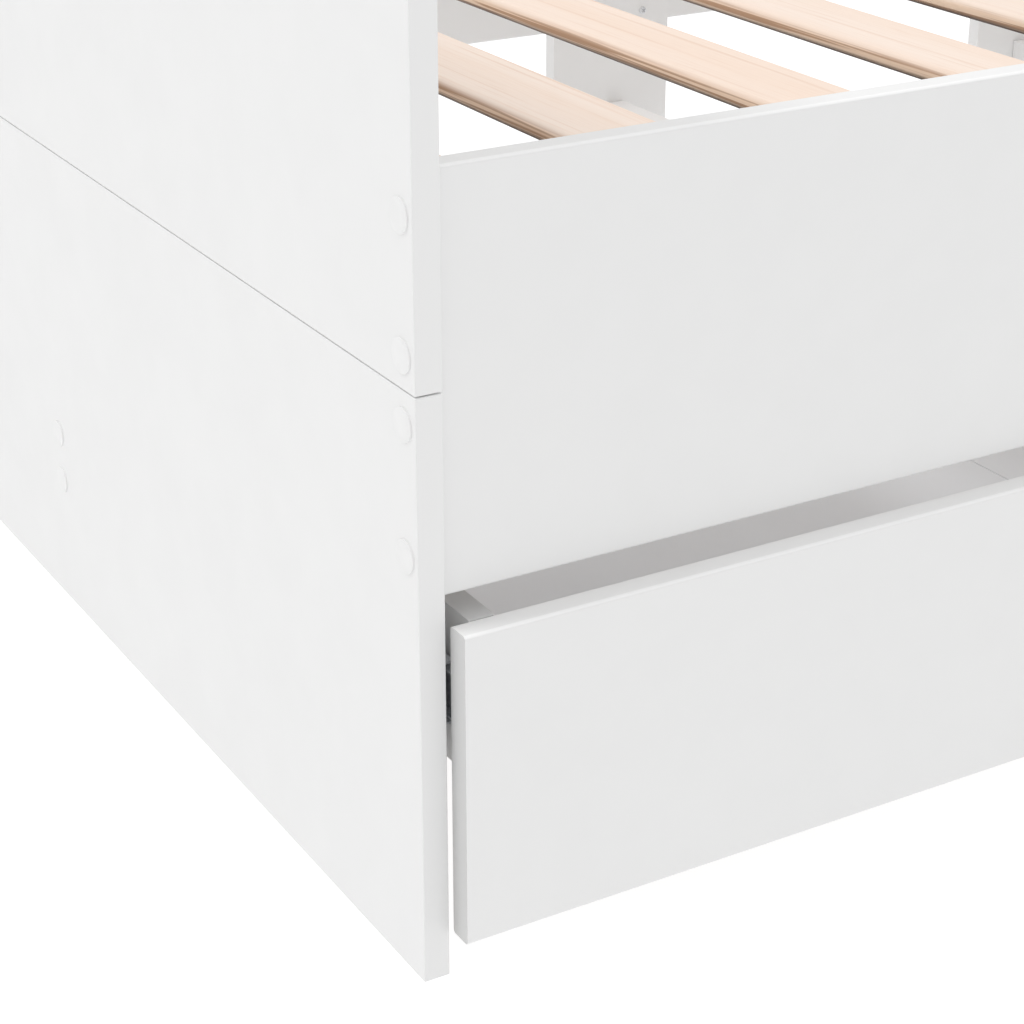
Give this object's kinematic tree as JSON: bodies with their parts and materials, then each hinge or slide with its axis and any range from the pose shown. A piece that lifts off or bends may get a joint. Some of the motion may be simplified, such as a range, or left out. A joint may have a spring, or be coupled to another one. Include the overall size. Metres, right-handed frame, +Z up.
{
  "type": "wooden bed frame",
  "caption": "Single bed frame of white coated board with a headboard higher than its footboard, pine slats and drawers without handles that pull out under one side rail.",
  "frame": {"origin": "middle of the footprint on the floor, with the left drawer standing 20 mm open as modelled", "axes": "+X along the bed from headboard to footboard, +Y across it from the drawer side to the back, +Z up"},
  "size_m": [2.035, 1.055, 0.74],
  "materials": {
    "white_board": "white melamine-coated particle board with white edging, satin",
    "pine": "planed pine, unfinished, pale with fine straight grain",
    "drawer_bottom": "thin fibreboard, white on its upper face",
    "slide_steel": "rolled steel, zinc plated"
  },
  "bodies": {
    "root": {"back_rail": "white_board", "back_slat_ledge": "pine", "drawer_divider": "white_board", "footboard_lower_board": "white_board", "footboard_upper_board": "white_board", "front_rail": "white_board", "front_slat_ledge": "pine", "headboard_lower_board": "white_board", "headboard_upper_board": "white_board", "left_back_leg": "white_board", "left_cross_board": "white_board", "left_drawer_left_slide_cabinet_member": "slide_steel", "left_drawer_right_slide_cabinet_member": "slide_steel", "middle_stretcher": "white_board", "right_back_leg": "white_board", "right_cross_board": "white_board", "right_drawer_left_slide_cabinet_member": "slide_steel", "right_drawer_right_slide_cabinet_member": "slide_steel", "slat_01": "pine", "slat_02": "pine", "slat_03": "pine", "slat_04": "pine", "slat_05": "pine", "slat_06": "pine", "slat_07": "pine", "slat_08": "pine", "slat_09": "pine", "slat_10": "pine", "slat_11": "pine", "slat_12": "pine", "slat_13": "pine", "slat_14": "pine"},
    "left_drawer": {"left_drawer_back": "white_board", "left_drawer_bottom_batten": "white_board", "left_drawer_bottom_left": "drawer_bottom", "left_drawer_bottom_right": "drawer_bottom", "left_drawer_front": "white_board", "left_drawer_left_side": "white_board", "left_drawer_left_slide_drawer_member": "slide_steel", "left_drawer_right_side": "white_board", "left_drawer_right_slide_drawer_member": "slide_steel"},
    "left_drawer_runners": {"left_drawer_left_slide_middle_member": "slide_steel", "left_drawer_right_slide_middle_member": "slide_steel"},
    "right_drawer": {"right_drawer_back": "white_board", "right_drawer_bottom_batten": "white_board", "right_drawer_bottom_left": "drawer_bottom", "right_drawer_bottom_right": "drawer_bottom", "right_drawer_front": "white_board", "right_drawer_left_side": "white_board", "right_drawer_left_slide_drawer_member": "slide_steel", "right_drawer_right_side": "white_board", "right_drawer_right_slide_drawer_member": "slide_steel"},
    "right_drawer_runners": {"right_drawer_left_slide_middle_member": "slide_steel", "right_drawer_right_slide_middle_member": "slide_steel"}
  },
  "joints": [
    {"name": "left_drawer_slide", "type": "slide", "parent": "root", "child": "left_drawer", "axis": [0, -1, 0], "range_m": [-0.02, 0.41]},
    {"name": "left_runners_slide", "type": "slide", "parent": "root", "child": "left_drawer_runners", "axis": [0, -1, 0], "range_m": [-0.01, 0.205]},
    {"name": "right_drawer_slide", "type": "slide", "parent": "root", "child": "right_drawer", "axis": [0, -1, 0], "range_m": [0, 0.43]},
    {"name": "right_runners_slide", "type": "slide", "parent": "root", "child": "right_drawer_runners", "axis": [0, -1, 0], "range_m": [0, 0.215]}
  ],
  "couplings": [
    {"joint": "left_runners_slide", "follows": "left_drawer_slide", "ratio": 0.5},
    {"joint": "right_runners_slide", "follows": "right_drawer_slide", "ratio": 0.5}
  ]
}
